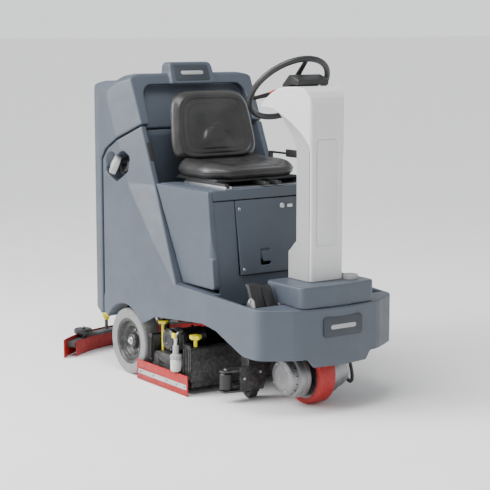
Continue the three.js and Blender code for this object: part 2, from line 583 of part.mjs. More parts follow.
function chassis() {
  const rails = [-1, 1].map((s) => box(-398, 600, ...span(s, 130, 165), 300, 345));
  const cross = [-398, -260, -90, 330, 560].map((x) => box(x, x + 40, -165, 165, 300, 345));
  const plate = box(545, 770, -165, 165, 300, 318).subtract(rodZ(DRIVE.x, 0, 40, 290, 330, 24));
  const standoffs = [[-100, 270], [300, 270], [560, 270]].flatMap(([x, y]) => [-1, 1]
    .map((s) => box(x, x + 40, ...span(s, 125, y), 330, FLOOR - WALL - GAP)));
  const hangers = [-1, 1].map((s) => alongY([
    [REAR_AXLE.x - 34, 345], [REAR_AXLE.x - 28, 122, 26], [REAR_AXLE.x + 28, 122, 26], [REAR_AXLE.x + 34, 345],
  ], ...span(s, 160, 172)));
  const tail = [-1, 1].map((s) => alongY([
    [-456, 236], [-456, 168], [-400, 168], [-352, 320], [-398, 320], [-403, 236],
  ], ...span(s, 76, 88)));
  const actuator = box(MOTOR_X - 27, MOTOR_X + 27, -165, 165, 330, 345).add(rodZ(MOTOR_X, 0, 26, 262, 384, 24));
  const axle = [rodY(REAR_AXLE.x, REAR_AXLE.z, 12, -340, 340, 12),
    rodY(REAR_AXLE.x, REAR_AXLE.z, 20, -271, -165, 12), rodY(REAR_AXLE.x, REAR_AXLE.z, 20, 165, 271, 12)];
  const holes = join(rodY(-430, 190, 10.3, -100, 100, 20),
    rodZ(MOTOR_X, 0, 10.6, 250, 372, 12));
  return join(...rails, ...cross, plate, ...standoffs, ...hangers, ...tail, actuator, ...axle, rollerBracket())
    .subtract(holes);
}

// ---------- seat ----------
function seatCushion() {
  const outlineSide = alongY([
    [-60, 912, 20], [240, 906, 30], [292, 930, 24], [276, 972, 30], [150, 962, 80], [20, 966, 60], [-78, 1010, 20],
  ], -236, 236);
  const plan = alongZ([[-90, -226, 40], [200, -240, 90], [300, -150, 60], [300, 150, 60], [200, 240, 90],
    [-90, 226, 40]], 880, 1040);
  return outlineSide.intersect(plan);
}

function seatBack() {
  const lean = (z) => -72 - 0.23 * (z - 1000);
  const shape = alongX([
    [-236, 975, 60], [236, 975, 60], [222, 1130], [176, 1268, 90], [-176, 1268, 90], [-222, 1130],
  ], -300, 200);
  const slab = alongY([
    [lean(972) + 4, 972], [lean(1016) + 40, 1016], [lean(1100) + 34, 1100], [lean(1200) + 40, 1200],
    [lean(1270) + 22, 1272], [lean(1270) - 6, 1272], [lean(972) - 26, 972],
  ], -250, 250);
  return shape.intersect(slab).subtract(seatCushionClearance());
}

function seatCushionClearance() {
  return alongY([
    [-61, 880], [400, 880], [400, 972], [150, 963], [20, 968], [-78, 1011], [-62, 914],
  ], -260, 260);
}

function seatRails() {
  const lower = [];
  const upper = [box(-46, 262, -222, 222, 900, 905), box(258, 352, -24, -4, 888, 902), box(258, 352, 40, 60, 888, 902)];
  mirrored((side) => {
    const [y0, y1] = span(side, 198, 228);
    lower.push(box(34, 352, y0, y1, DECK_TOP + GAP, 892).subtract(box(33, 353, y0 + 4, y1 - 4, 884, 893)));
    upper.push(box(38, 338, y0 + 5, y1 - 5, 885, 901));
  });
  lower.push(box(40, 70, -220, 220, DECK_TOP + GAP, 883.5), box(300, 330, -220, 220, DECK_TOP + GAP, 883.5));
  node('seat_rails', join(...lower), 'steel');
  node('seat_pan', join(...upper), 'black');
}

// ---------- pedals ----------
function pedals() {
  const pivot = { x: 676, z: 428 };
  const bracket = join(
    alongY([[640, FLOOR + GAP], [699, FLOOR + GAP], [699, 440], [690, 470, 12], [664, 486, 16], [640, 452]],
      -324, -318),
    alongY([[650, FLOOR + GAP], [699, FLOOR + GAP], [696, 450, 10], [660, 450, 10]], -201, -195),
    box(640, 699, -324, -195, FLOOR + GAP, FLOOR + 5), rodY(pivot.x, pivot.z, 5, -330, -192, 12));
  node('pedal_bracket', bracket, 'castMetal');
  const pad = (y0, y1, top) => alongY([
    [pivot.x - 8, pivot.z - 10], [pivot.x + 12, pivot.z - 6], [pivot.x + 8, pivot.z + 14],
    [pivot.x - 34, top - 4], [pivot.x - 52, top], [pivot.x - 56, top - 8], [pivot.x - 40, top - 24],
  ], y0, y1).subtract(rodY(pivot.x, pivot.z, 5.4, y0 - 1, y1 + 1, 16));
  node('accelerator_pedal', pad(-316, -262, 532), 'black');
  node('brake_pedal', pad(-256, -206, 520), 'black');
}

// ---------- assembly ----------
const lowerBody = largest(mainBody());
node('main_body', lowerBody, 'slate');
node('recovery_tank', recoveryTank().add(nameBox()), 'slate');
node('tank_lid', alongZ([[-550, -188, 24], [-370, -188, 24], [-370, 188, 24], [-550, 188, 24]],
  SHOULDER - 4 + GAP, SHOULDER + 14).add(box(-531, -389, -166, 166, SHOULDER - 20, SHOULDER)), 'slateDark');
node('battery_box', batteryBox(), 'slate');
node('seat_deck', seatDeck(), 'slate');
node('battery_door', batteryDoor(), 'slate');
node('batteries', join(...[-180, -2, 176].flatMap((x) => [-1, 1].map((s) =>
  box(x, x + 176, ...span(s, 4, 282), FLOOR + GAP, 760)
    .add(rodZ(x + 40, s * 60, 12, 759, 774, 6)).add(rodZ(x + 130, s * 60, 12, 759, 774, 6)))),
box(-180, 352, -20, 20, FLOOR + GAP, 420)), 'charcoal');
node('nose_block', alongZ([
  [582, -190, 24], [745, -190], [826, -186, 26], [842, 0, 500], [826, 186, 26], [745, 190], [582, 190, 24],
], 396, 529).intersect(alongY([[560, 396], [699, 396], [699, 445], [860, 438.6], [860, 522], [840, 529], [560, 529]],
  -200, 200)).subtract(box(640, 720, -60, 60, 390, 520)).subtract(box(500, 700, -200, 200, 300, FLOOR + GAP))
  .subtract(spaced(lowerBody)), 'slate');
const [columnFront, columnRear] = columnShells();
node('column_front_cover', columnFront, 'white');
node('column_rear_cover', columnRear, 'paleGray');
node('dash_panel', alongY([
  [508.4, 1246.5], [589, 1291.2], [585, 1298], [504.5, 1252.5],
], -127, 127).subtract(rodBetween([440, 0, 1343], [566, 0, 1214], 24, 16))
  .subtract(rodBetween([508, -98, 1290], [540, -98, 1235], 12.3, 12))
  .subtract(rodBetween([496, -60, 1280], [528, -60, 1226], 8.3, 12)), 'black');
node('display_pod', alongY([
  [548, 1296], [600, 1320], [650, 1318 + GAP], [652, 1340], [590, 1362, 14], [540, 1318],
], -78, 78).subtract(columnFront).subtract(box(500, 620, -90, 90, 1250, 1300))
  .subtract(alongY([[540, 1260], [560, 1290], [620, 1318], [680, 1318 + GAP], [680, 1260]], -90, 90)), 'black');
node('steering_wheel', steeringWheel(), 'black');
node('emergency_stop', rodBetween([514, -98, 1281], [531, -98, 1251], 10, 10)
  .add(rodBetween([509, -98, 1290], [514.5, -98, 1280], 17, 16)), 'red');
node('key_switch', rodBetween([500, -60, 1272], [520, -60, 1238], 7, 12)
  .add(solid(new THREE.BoxGeometry(20, 5, 22).rotateY(30 * DEG).translate(496, -60, 1280))), 'steel');
mirrored(rearWheel);
driveWheel();
driveUnit();
node('chassis', chassis(), 'charcoal');
node('brush_housing', brushHousing(), 'black');
node('brush_front', brush(BRUSH.xs[1]), 'bristle');
node('brush_rear', brush(BRUSH.xs[0]), 'bristle');
mirrored(deckSide);
node('deck_knob_rear', starKnob(-16, -312, 262, 24, 6.5, 119.5), 'yellow');
node('deck_knob_front', starKnob(246, -312, 238, 28, 8, 33.5), 'yellow');
node('filter_bowl', rodZ(186, -374, 20, 94, 100, 16, 24).add(rodZ(186, -374, 24, 99, 150, 16))
  .add(rodZ(186, -374, 13, 149, 206, 12)).add(box(176, 196, -374, -300, 186, 206))
  .add(box(176, 196, -312, -300, 142 + GAP, 206)), 'clear');
node('debris_hopper', box(-80, -49, -340, 340, 96, 208).subtract(box(-76, -53, -336, 336, 100, 230))
  .add(box(-80, -52, -348, -339, 96, 216)).add(join(...[-79, -69, -59].map((x) =>
    box(x, x + 5, -353, -347, 104, 196)))), 'charcoal');
squeegee();
node('squeegee_arm', squeegeeArm(), 'charcoal');
node('vacuum_motor', rodZ(-290, 0, 80, 420, 470, 20).add(rodZ(-290, 0, 62, 469, 560, 20))
  .add(box(-330, -250, -60, 60, 345 + GAP, 421)), 'black');
node('guide_roller', rodZ(442, -290, 27, 56, 126, 20).subtract(rodZ(442, -290, 7.3, 50, 130, 8)), 'black');
node('deck_caster', rodY(440, 32, 30, -182, -142, 20).subtract(rodY(440, 32, 6.6, -230, -100, 8)), 'black');
node('seat_cushion', seatCushion(), 'vinyl');
node('seat_back', seatBack(), 'vinyl');
seatRails();
pedals();
node('drain_cap', rodBetween([-318, -352, 936], [-331, -378, 948], 44, 24), 'paleGray');
node('drain_hose', tube([
  [-313, -343, 932], [-308, -334, 928], [-290, -330, 920], [-262, -331, 923], [-240, -335, 944], [-230, -338, 964],
], 17, 10, 12), 'black');
node('fill_cap', rodZ(748, 120, 34, 529 + GAP, 548, 20, 31), 'gray');

export default root;
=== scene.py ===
"""Looks of the ride-on floor scrubber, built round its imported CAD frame. Lengths are in metres, in the CAD's frame:
+X forward, +Y the machine's left, +Z up."""

import json
import math

import bmesh
import bpy
from mathutils import Matrix, Vector


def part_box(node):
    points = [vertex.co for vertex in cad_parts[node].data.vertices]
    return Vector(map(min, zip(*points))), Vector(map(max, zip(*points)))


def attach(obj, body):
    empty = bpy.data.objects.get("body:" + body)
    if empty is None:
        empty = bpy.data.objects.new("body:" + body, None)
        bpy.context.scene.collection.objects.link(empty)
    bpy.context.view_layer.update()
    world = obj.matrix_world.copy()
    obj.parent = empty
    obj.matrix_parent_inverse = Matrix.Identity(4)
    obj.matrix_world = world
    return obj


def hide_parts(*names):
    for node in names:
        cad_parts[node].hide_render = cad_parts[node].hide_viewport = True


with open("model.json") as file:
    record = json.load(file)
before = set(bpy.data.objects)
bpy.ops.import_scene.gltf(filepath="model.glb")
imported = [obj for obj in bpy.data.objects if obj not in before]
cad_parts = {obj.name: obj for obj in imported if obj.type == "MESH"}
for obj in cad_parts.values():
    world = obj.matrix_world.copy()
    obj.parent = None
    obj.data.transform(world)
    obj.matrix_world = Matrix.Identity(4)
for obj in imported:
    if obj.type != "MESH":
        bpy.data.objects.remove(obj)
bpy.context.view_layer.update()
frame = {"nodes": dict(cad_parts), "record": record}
nodes = frame["nodes"]
record = frame["record"]
body_of = {n: b for b, members in record["behaviour"]["bodies"].items() for n in members}
slot_of = {s["node"]: s["material_slot"] for s in record["subparts"]}

MM = 0.001
AXES = {"x": Vector((1, 0, 0)), "y": Vector((0, 1, 0)), "z": Vector((0, 0, 1))}
UP = (0, 0, 1)
WELD = 1e-5  # the CAD's triangles don't share corners, so those this close are joined
KEPT_FACES = 0.35  # share of the faces left on a moulded skin
CREASE = math.radians(32)


# ---------- materials ----------
class Shader:
    """A Principled material under construction, with object coordinates for its textures."""

    def __init__(self, name):
        self.material = bpy.data.materials.new(name)
        self.material.use_nodes = True
        self.tree = self.material.node_tree
        self.main = self.tree.nodes["Principled BSDF"]
        self.place = self.tree.nodes.new("ShaderNodeTexCoord").outputs["Object"]

    def node(self, kind, inputs=(), **settings):
        made = self.tree.nodes.new(f"ShaderNode{kind}")
        for key, value in settings.items():
            setattr(made, key, value)
        for key, value in dict(inputs).items():
            if isinstance(value, bpy.types.NodeSocket):
                self.tree.links.new(value, made.inputs[key])
            else:
                made.inputs[key].default_value = value
        return made

    def noise(self, scale, detail=4.0, stretch=(1, 1, 1)):
        mapped = self.node("Mapping", {"Vector": self.place, "Scale": stretch}).outputs["Vector"]
        return self.node("TexNoise", {"Vector": mapped, "Scale": scale, "Detail": detail}).outputs["Fac"]

    def range(self, value, low, high, start=0.3, end=0.7):
        inputs = {"Value": value, "From Min": start, "From Max": end, "To Min": low, "To Max": high}
        return self.node("MapRange", inputs).outputs["Result"]

    def mix(self, factor, a, b):
        made = self.node("Mix", data_type="RGBA")
        for socket, value in ((made.inputs[0], factor), (made.inputs[6], a), (made.inputs[7], b)):
            if isinstance(value, bpy.types.NodeSocket):
                self.tree.links.new(value, socket)
            elif hasattr(value, "__len__"):
                socket.default_value = (*value, 1.0)
            else:
                socket.default_value = value
        return made.outputs[2]

    def link(self, value, name):
        self.tree.links.new(value, self.main.inputs[name])

    def bump(self, height, strength, distance, below=None):
        inputs = {"Height": height, "Strength": strength, "Distance": distance}
        if below is not None:
            inputs["Normal"] = below
        return self.node("Bump", inputs).outputs["Normal"]


def finish(name, color, roughness, metallic=0.0, grain=(900.0, 0.12), cloud=0.10, dust=0.0, coat=0.0,
           brushed=(1, 1, 1)):
    """A finish with clouded colour, uneven gloss, a fine grain and, on request, dust settling low down."""
    s = Shader(name)
    dark = tuple(c * (1 - cloud) for c in color)
    light = tuple(min(1.0, c * (1 + cloud)) for c in color)
    shade = s.mix(s.range(s.noise(5.0), 0, 1), dark, light)
    if dust:
        height = s.node("SeparateXYZ", {"Vector": s.place}).outputs["Z"]
        low = s.range(height, dust, 0.0, 0.02, 0.32)
        speckle = s.range(s.noise(60.0, 8.0), 0.0, 1.0, 0.42, 0.66)
        amount = s.node("Math", {0: low, 1: speckle}, operation="MULTIPLY").outputs[0]
        shade = s.mix(amount, shade, (0.42, 0.40, 0.37))
    s.link(shade, "Base Color")
    s.link(s.range(s.noise(14.0, 6.0), max(0.05, roughness - 0.07), min(1, roughness + 0.07)), "Roughness")
    s.main.inputs["Metallic"].default_value = metallic
    s.main.inputs["Coat Weight"].default_value = coat
    fine = s.bump(s.noise(grain[0], 3.0, brushed), grain[1], 0.0006)
    s.link(s.bump(s.noise(35.0, 2.0), 0.06, 0.002, fine), "Normal")
    return s.material


def vinyl():
    """Black vinyl with a pebbled leather grain."""
    s = Shader("vinyl_black")
    cells = s.node("TexVoronoi", {"Vector": s.place, "Scale": 420.0}, feature="DISTANCE_TO_EDGE").outputs["Distance"]
    pebble = s.range(cells, 0.0, 1.0, 0.0, 0.16)
    s.link(s.mix(s.range(s.noise(9.0), 0, 1), (0.012, 0.012, 0.013), (0.030, 0.029, 0.029)), "Base Color")
    s.link(s.range(s.noise(18.0, 6.0), 0.27, 0.38), "Roughness")
    s.main.inputs["Specular IOR Level"].default_value = 0.55
    s.link(s.bump(s.noise(26.0, 4.0), 0.10, 0.004, s.bump(pebble, 0.22, 0.0005)), "Normal")
    return s.material


def tread_rubber(name, color, roughness):
    """Rubber with fine scuffs and floor dust worked in."""
    s = Shader(name)
    scuff = s.range(s.noise(120.0, 10.0, (1, 1, 0.3)), 0, 1, 0.45, 0.62)
    worn = s.mix(s.range(s.noise(8.0, 6.0), 0, 1), tuple(c * 0.86 for c in color), color)
    s.link(s.mix(scuff, worn, tuple(min(1.0, c * 1.12 + 0.01) for c in color)), "Base Color")
    s.link(s.range(s.noise(30.0), roughness - 0.08, roughness + 0.08), "Roughness")
    s.link(s.bump(s.noise(260.0, 6.0), 0.18, 0.0008), "Normal")
    return s.material


def milky():
    """Translucent strainer plastic."""
    s = Shader("milky_plastic")
    s.link(s.mix(s.range(s.noise(22.0), 0, 1), (0.62, 0.62, 0.58), (0.80, 0.80, 0.77)), "Base Color")
    s.link(s.range(s.noise(40.0), 0.18, 0.30), "Roughness")
    s.main.inputs["Transmission Weight"].default_value = 0.25
    s.main.inputs["Subsurface Weight"].default_value = 0.15
    s.main.inputs["Subsurface Scale"].default_value = 0.01
    s.link(s.bump(s.noise(300.0), 0.08, 0.0005), "Normal")
    return s.material


def glass_screen():
    """Dark display glass, faintly lit in bands."""
    s = Shader("screen_glass")
    bands = s.node("TexWave", {"Vector": s.place, "Scale": 14.0, "Distortion": 0.0}).outputs["Fac"]
    s.link(s.mix(s.range(bands, 0, 1, 0.6, 0.9), (0.010, 0.013, 0.016), (0.030, 0.042, 0.050)), "Base Color")
    s.link(s.range(s.noise(40.0), 0.06, 0.12), "Roughness")
    s.main.inputs["Coat Weight"].default_value = 0.6
    return s.material


SLATE = finish("slate_moulded", (0.062, 0.076, 0.098), 0.46, grain=(700.0, 0.30), cloud=0.08, dust=0.04)
SLATE_DARK = finish("slate_dark", (0.028, 0.035, 0.046), 0.50, grain=(700.0, 0.22), cloud=0.08)
WHITE = finish("pale_cover", (0.62, 0.62, 0.615), 0.36, grain=(600.0, 0.06), cloud=0.03, coat=0.1)
PALE = finish("pale_gray_cover", (0.34, 0.34, 0.345), 0.45, grain=(600.0, 0.10), cloud=0.04)
BLACK = finish("black_plastic", (0.016, 0.016, 0.017), 0.42, grain=(800.0, 0.20), cloud=0.2)
CHARCOAL = finish("charcoal_plastic", (0.040, 0.041, 0.043), 0.55, grain=(600.0, 0.20), cloud=0.15, dust=0.15)
PAINT = finish("black_powder_coat", (0.018, 0.018, 0.019), 0.38, grain=(500.0, 0.25), cloud=0.2, dust=0.15)
YELLOW = finish("yellow_knob", (0.78, 0.66, 0.012), 0.35, grain=(700.0, 0.08), cloud=0.05)
RED_BUTTON = finish("red_button", (0.60, 0.02, 0.02), 0.28, grain=(700.0, 0.05), cloud=0.05)
STEEL = finish("zinc_steel", (0.56, 0.57, 0.58), 0.30, 1.0, grain=(500.0, 0.12), cloud=0.10, brushed=(1, 8, 8))
CAST = finish("cast_aluminium", (0.28, 0.28, 0.29), 0.42, 1.0, grain=(420.0, 0.35), cloud=0.14)
SATIN = finish("satin_motor", (0.27, 0.27, 0.275), 0.46, 0.8, grain=(420.0, 0.20), cloud=0.10)
BRISTLE = finish("nylon_bristle", (0.030, 0.030, 0.033), 0.75, grain=(900.0, 0.9), cloud=0.35, brushed=(6, 1, 6))
TYRE_GRAY = tread_rubber("tyre_gray", (0.21, 0.21, 0.212), 0.72)
TYRE_RED = tread_rubber("tyre_red", (0.36, 0.012, 0.010), 0.52)
RUBBER_RED = tread_rubber("rubber_red", (0.33, 0.005, 0.004), 0.50)
VINYL = vinyl()
MILKY = milky()
SCREEN = glass_screen()

SLOT_FINISH = {
    "slate_plastic": SLATE, "dark_plastic": SLATE_DARK, "pale_plastic": WHITE, "gray_plastic": PALE,
    "black_plastic": BLACK, "red_plastic": RED_BUTTON, "yellow_plastic": YELLOW, "clear_plastic": MILKY,
    "bristle": BRISTLE, "gray_tyre": TYRE_GRAY, "red_tyre": TYRE_RED, "red_rubber": RUBBER_RED,
    "black_paint": PAINT, "cast_aluminium": CAST, "bright_steel": STEEL, "black_vinyl": VINYL,
}


# ---------- pieces ----------
def place(obj, material, body, stands_for=(), crease=35):
    """Finishes a new mesh: material, shading, body and the CAD nodes it stands for."""
    if obj.name not in bpy.context.scene.collection.objects:
        bpy.context.scene.collection.objects.link(obj)
    obj.data.materials.clear()
    obj.data.materials.append(material)
    if obj.type == "MESH":
        obj.data.shade_smooth()
        if crease:
            obj.data.set_sharp_from_angle(angle=math.radians(crease))
    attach(obj, body)
    if stands_for:
        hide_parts(*stands_for)
    return obj


def mesh_object(name, vertices, faces):
    """A mesh object with its faces turned outwards."""
    mesh = bpy.data.meshes.new(name)
    mesh.from_pydata([tuple(v) for v in vertices], [], faces)
    mesh.validate()
    work = bmesh.new()
    work.from_mesh(mesh)
    bmesh.ops.recalc_face_normals(work, faces=work.faces)
    work.to_mesh(mesh)
    work.free()
    return bpy.data.objects.new(name, mesh)


def applied(obj):
    """The object with its modifiers made real."""
    if obj.name not in bpy.context.scene.collection.objects:
        bpy.context.scene.collection.objects.link(obj)
    bpy.context.view_layer.update()
    result = bpy.data.meshes.new_from_object(obj.evaluated_get(bpy.context.evaluated_depsgraph_get()))
    obj.modifiers.clear()
    obj.data = result
    return obj


def moulded(node, voxel, passes):
    """A CAD shell with the soft, rounded edges of a moulding."""
    shell = bpy.data.objects.new(f"{node}_skin", nodes[node].data.copy())
    shell.modifiers.new("weld", "WELD").merge_threshold = WELD
    remesh = shell.modifiers.new("remesh", "REMESH")
    remesh.mode, remesh.voxel_size = "VOXEL", voxel
    soften = shell.modifiers.new("soften", "SMOOTH")
    soften.factor, soften.iterations = 0.5, passes
    shell.modifiers.new("thin", "DECIMATE").ratio = KEPT_FACES
    applied(shell)
    return place(shell, SLOT_FINISH[slot_of[node]], body_of[node], [node], crease=None)


def frame_of(axis):
    """Two directions square to an axis."""
    along = Vector(axis).normalized()
    side = along.cross(Vector((0, 0, 1)) if abs(along.z) < 0.9 else Vector((1, 0, 0))).normalized()
    return side, along.cross(side)


def lathe(name, profile, centre, axis="y", segments=72):
    """A closed solid of revolution. The profile is (radius, distance along the axis) in millimetres."""
    along = Vector(AXES[axis] if isinstance(axis, str) else axis).normalized()
    side, up = frame_of(along)
    centre = Vector(centre)
    vertices, faces = [], []
    for i in range(segments):
        a = 2 * math.pi * i / segments
        ray = side * math.cos(a) + up * math.sin(a)
        vertices += [centre + ray * (r * MM) + along * (d * MM) for r, d in profile]
    count = len(profile)
    for i in range(segments):
        j = (i + 1) % segments
        faces += [(i * count + k, i * count + k + 1, j * count + k + 1, j * count + k) for k in range(count - 1)]
    obj = mesh_object(name, vertices, faces)
    work = bmesh.new()
    work.from_mesh(obj.data)
    bmesh.ops.remove_doubles(work, verts=work.verts, dist=1e-6)
    bmesh.ops.holes_fill(work, edges=work.edges, sides=segments + 1)
    bmesh.ops.recalc_face_normals(work, faces=work.faces)
    work.to_mesh(obj.data)
    work.free()
    return obj


def rounded_box(name, low, high, radius, segments=3):
    """A box between two corners in millimetres, with rounded edges."""
    low, high = Vector(low) * MM, Vector(high) * MM
    mesh = bpy.data.meshes.new(name)
    work = bmesh.new()
    size = high - low
    bmesh.ops.create_cube(work, size=1.0, matrix=Matrix.Translation((low + high) / 2) @ Matrix.Diagonal((*size, 1)))
    radius = min(radius * MM, min(size) * 0.49)
    bmesh.ops.bevel(work, geom=list(work.edges), offset=radius, segments=segments, profile=0.5, affect="EDGES")
    work.to_mesh(mesh)
    work.free()
    return bpy.data.objects.new(name, mesh)


def plate(name, outline, thickness, origin, normal, upright, bevel=0.8):
    """A thin plate: outline corners (across, up) in millimetres on a plane, thickened along its normal."""
    normal = Vector(normal).normalized()
    across = Vector(upright).cross(normal).normalized()
    up = normal.cross(across)
    work = bmesh.new()
    base = [work.verts.new(Vector(origin) + across * (u * MM) + up * (v * MM)) for u, v in outline]
    face = work.faces.new(base)
    top = bmesh.ops.extrude_face_region(work, geom=[face])
    lifted = [g for g in top["geom"] if isinstance(g, bmesh.types.BMVert)]
    bmesh.ops.translate(work, verts=lifted, vec=normal * (thickness * MM))
    bmesh.ops.recalc_face_normals(work, faces=work.faces)
    if bevel:
        rim = [e for e in work.edges if all(v in set(lifted) for v in e.verts)]
        bmesh.ops.bevel(work, geom=rim, offset=bevel * MM, segments=2, profile=0.5, affect="EDGES")
    mesh = bpy.data.meshes.new(name)
    work.to_mesh(mesh)
    work.free()
    return bpy.data.objects.new(name, mesh)


def rounded_outline(half_width, half_height, radius):
    """A rectangle's outline with rounded corners."""
    corners = [(1, 1, 0), (-1, 1, 90), (-1, -1, 180), (1, -1, 270)]
    steps, points = 6, []
    for sx, sy, start in corners:
        for k in range(steps + 1):
            a = math.radians(start + 90 * k / steps)
            points.append((sx * (half_width - radius) + radius * math.cos(a),
                           sy * (half_height - radius) + radius * math.sin(a)))
    return points


def tube(name, points, radius, segments=12, resolution=8, cyclic=False):
    """A round tube along a smooth line through points in millimetres."""
    curve = bpy.data.curves.new(name, "CURVE")
    curve.dimensions = "3D"
    curve.resolution_u = resolution
    line = curve.splines.new("NURBS")
    line.points.add(len(points) - 1)
    for target, p in zip(line.points, points):
        target.co = (*(Vector(p) * MM), 1.0)
    line.order_u = 4
    line.use_endpoint_u = not cyclic
    line.use_cyclic_u = cyclic
    curve.bevel_depth = radius * MM
    curve.bevel_resolution = max(1, segments // 4)
    curve.use_fill_caps = True
    return bpy.data.objects.new(name, curve)


def joined(name, parts):
    """One mesh object out of several, each a separate closed shell."""
    work = bmesh.new()
    for part in parts:
        if part.type == "CURVE":
            bpy.context.scene.collection.objects.link(part)
            bpy.context.view_layer.update()
            mesh = bpy.data.meshes.new_from_object(part.evaluated_get(bpy.context.evaluated_depsgraph_get()))
        else:
            mesh = part.data
        work.from_mesh(mesh)
        bpy.data.objects.remove(part)
    mesh = bpy.data.meshes.new(name)
    work.to_mesh(mesh)
    work.free()
    return bpy.data.objects.new(name, mesh)


def screw(name, at, axis, radius=5.0, height=3.0, sides=24):
    """A low round fastener head with a socket."""
    profile = [(0, height - 1.6), (radius * 0.42, height - 1.6), (radius * 0.42, height - 0.2),
               (radius * 0.8, height), (radius, height * 0.55), (radius, 0), (0, 0)]
    return lathe(name, profile, at, axis, sides)


def hexagon(name, at, axis, radius=8.0, height=6.0):
    """A hexagonal bolt head or nut."""
    profile = [(0, height), (radius * 0.8, height), (radius, height * 0.8), (radius, 0), (0, 0)]
    return lathe(name, profile, at, axis, 6)


def keep_cad(*names, width=1.2):
    """CAD nodes shown as they are, with a small edge break and their slot's finish."""
    for name in names:
        obj = nodes[name]
        obj.data.materials.clear()
        obj.data.materials.append(SLOT_FINISH[slot_of[name]])
        obj.data.shade_smooth()
        obj.data.set_sharp_from_angle(angle=CREASE)
        obj.modifiers.new("weld", "WELD").merge_threshold = WELD
        edge = obj.modifiers.new("edge", "BEVEL")
        edge.width, edge.segments, edge.limit_method = width * MM, 2, "ANGLE"
        edge.angle_limit = CREASE
        edge.harden_normals = True


# ---------- moulded body ----------
for shell, voxel, passes in (
    ("main_body", 0.0024, 22), ("recovery_tank", 0.0030, 18), ("battery_box", 0.0028, 12), ("nose_block", 0.0028, 16),
    ("seat_deck", 0.0026, 6), ("battery_door", 0.0022, 3), ("tank_lid", 0.0028, 6),
    ("column_front_cover", 0.0024, 14), ("column_rear_cover", 0.0024, 8), ("display_pod", 0.0022, 6),
):
    moulded(shell, voxel, passes)

keep_cad("chassis", "batteries", "vacuum_motor", "drive_hub", "drive_fork", "brush_housing", "deck_end_right",
         "deck_end_left", "debris_hopper", "squeegee_arm", "seat_rails", "seat_pan", "pedal_bracket",
         "accelerator_pedal", "brake_pedal", "dash_panel", "brush_front", "brush_rear", "side_skirt_right",
         "side_skirt_left")
keep_cad("deck_knob_rear", "deck_knob_front", "squeegee_knob_right", "squeegee_knob_left", width=2.5)
keep_cad("emergency_stop", "key_switch", width=1.0)

TANK_SLOPE = -0.44  # how far the tank's front runs back per metre up, above the seat deck
tank_front = lambda z: -0.054 + TANK_SLOPE * (z - 0.871)
TANK_NORMAL = (1, 0, -TANK_SLOPE)
DOOR_SLOPE = -0.15
door_face = lambda z: 0.419 + DOOR_SLOPE * (z - 0.465)
DOOR_NORMAL = (1, 0, -DOOR_SLOPE)

# blank name plates, each a dark panel with a plain pale bar on it
sign_z = 1.346
sign_at = (tank_front(sign_z) + 0.009, 0, sign_z)
place(plate("sign_plate", rounded_outline(92, 38, 10), 2.0, sign_at, TANK_NORMAL, UP), SLATE_DARK, "machine")
place(plate("sign_emblem", rounded_outline(60, 9, 9), 1.0, (sign_at[0] + 0.0018, 0, sign_z + 0.0008), TANK_NORMAL, UP,
            0.3), PALE, "machine")
place(plate("bumper_plate", rounded_outline(98, 41, 14), 6.0, (0.8505, 0.002, 0.362), (1, 0, 0), UP), SLATE_DARK,
      "machine")
place(plate("bumper_emblem", rounded_outline(64, 9, 9), 1.0, (0.8562, 0.002, 0.362), (1, 0, 0), UP, 0.3), PALE,
      "machine")

# the slot on the tank's right front edge, as a black plate: painted shade standing for the dark inside of the recessed
# slot
place(plate("tank_slot_shade", rounded_outline(13, 42, 5), 2.0, (tank_front(1.011) - 0.0005, -0.306, 1.011), TANK_NORMAL,
            UP, 0.5), BLACK, "machine")

# drain cap: a domed, ribbed cap with a stub of hose behind it
cap_at, cap_axis = Vector((-0.331, -0.378, 0.948)), Vector((-0.414, -0.828, 0.382)).normalized()
cap_rings = [(0, 1), (9, 1), (11, 3), (14, 3), (16, 0.5), (30, -1), (33, -3), (36, -3), (38, -1), (42, -4), (44, -8),
             (44, -28), (41, -30), (0, -30)]
place(lathe("drain_cap_dome", cap_rings, cap_at, tuple(cap_axis), 64), PALE, "drain_plug",
      ["drain_cap"])
place(lathe("drain_cap_stud", [(0, 3), (5, 3), (6, 1), (6, -2), (0, -2)], cap_at, tuple(cap_axis), 24), BLACK,
      "drain_plug")
hose_points = [(-313, -343, 932), (-308, -334, 928), (-290, -330, 920), (-262, -331, 923), (-240, -335, 944),
               (-230, -338, 964)]
place(tube("drain_elbow", hose_points, 17, 24), BLACK, "machine", ["drain_hose"])

# battery door hardware: round fasteners, a key lock
fasteners = [screw(f"door_screw_{i}", (door_face(z) - 0.0025, y * 0.169, z), DOOR_NORMAL, 7, 4)
             for i, (y, z) in enumerate(((-1, 0.796), (-1, 0.545), (1, 0.796), (1, 0.545)))]
place(joined("door_fasteners", fasteners), STEEL, "door")
lock = (door_face(0.797) - 0.0025, 0.052, 0.797)
place(joined("door_lock", [lathe("lock_ring", [(0, 3), (4, 3), (5, 5), (10, 5), (12, 3), (12, 0), (0, 0)], lock,
                                 DOOR_NORMAL, 32),
                           rounded_box("lock_bar", (lock[0] * 1000, 76, 788), (lock[0] * 1000 + 8, 104, 804), 3)]),
      STEEL, "door")

